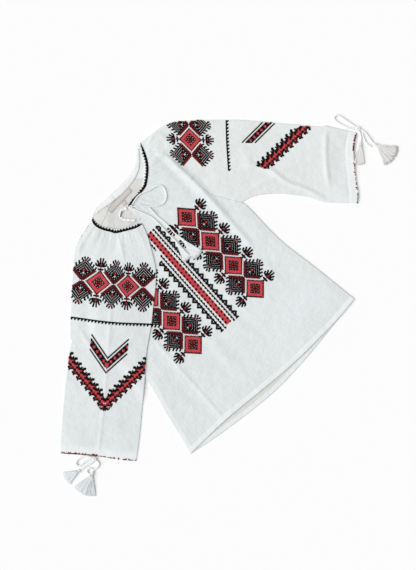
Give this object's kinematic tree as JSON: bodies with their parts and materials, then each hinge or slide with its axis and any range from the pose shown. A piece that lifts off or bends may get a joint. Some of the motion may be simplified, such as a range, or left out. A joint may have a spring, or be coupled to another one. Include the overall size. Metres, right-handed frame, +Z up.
{
  "type": "embroidered blouse",
  "caption": "Child's cotton folk blouse laid flat, raglan sleeves with drawstring cuffs and a gathered neck, cross-stitch on front and sleeves, tasselled cords.",
  "frame": {"origin": "centre of the cloth's box in the lay, on the ground under it", "axes": "+Z up from the ground; +Y and +X as the blouse lies, the body's length pointing 48 degrees below +X, one sleeve laid out along +X and one folded down along -Y"},
  "size_m": [0.6458, 0.7277, 0.0089],
  "materials": {
    "cotton": "matt plain weave",
    "cotton_inside": "matt plain weave",
    "label": "matt woven tape",
    "cord": "matt twisted cotton",
    "tassel": "soft cotton thread"
  },
  "bodies": {
    "root": {"back_panel": "cotton", "front_panel": "cotton", "sleeve_out": "cotton", "sleeve_down": "cotton", "neck_casing_back": "cotton_inside", "neck_casing_bunch": "cotton_inside", "neck_label": "label", "size_tab": "label", "neck_loop": "cord", "neck_end_a": "cord", "neck_end_b": "cord", "down_cuff_loop": "cord", "down_cuff_end_a": "cord", "down_cuff_end_b": "cord", "down_cuff_curl": "cord", "out_cuff_loop": "cord", "out_cuff_end_a": "cord", "out_cuff_end_b": "cord", "out_cuff_curl": "cord", "neck_knot": "cord", "down_cuff_knot": "cord", "out_cuff_knot": "cord", "neck_tassel_a": "tassel", "neck_tassel_b": "tassel", "down_cuff_tassel_a": "tassel", "down_cuff_tassel_b": "tassel", "out_cuff_tassel_a": "tassel", "out_cuff_tassel_b": "tassel"}
  },
  "joints": []
}
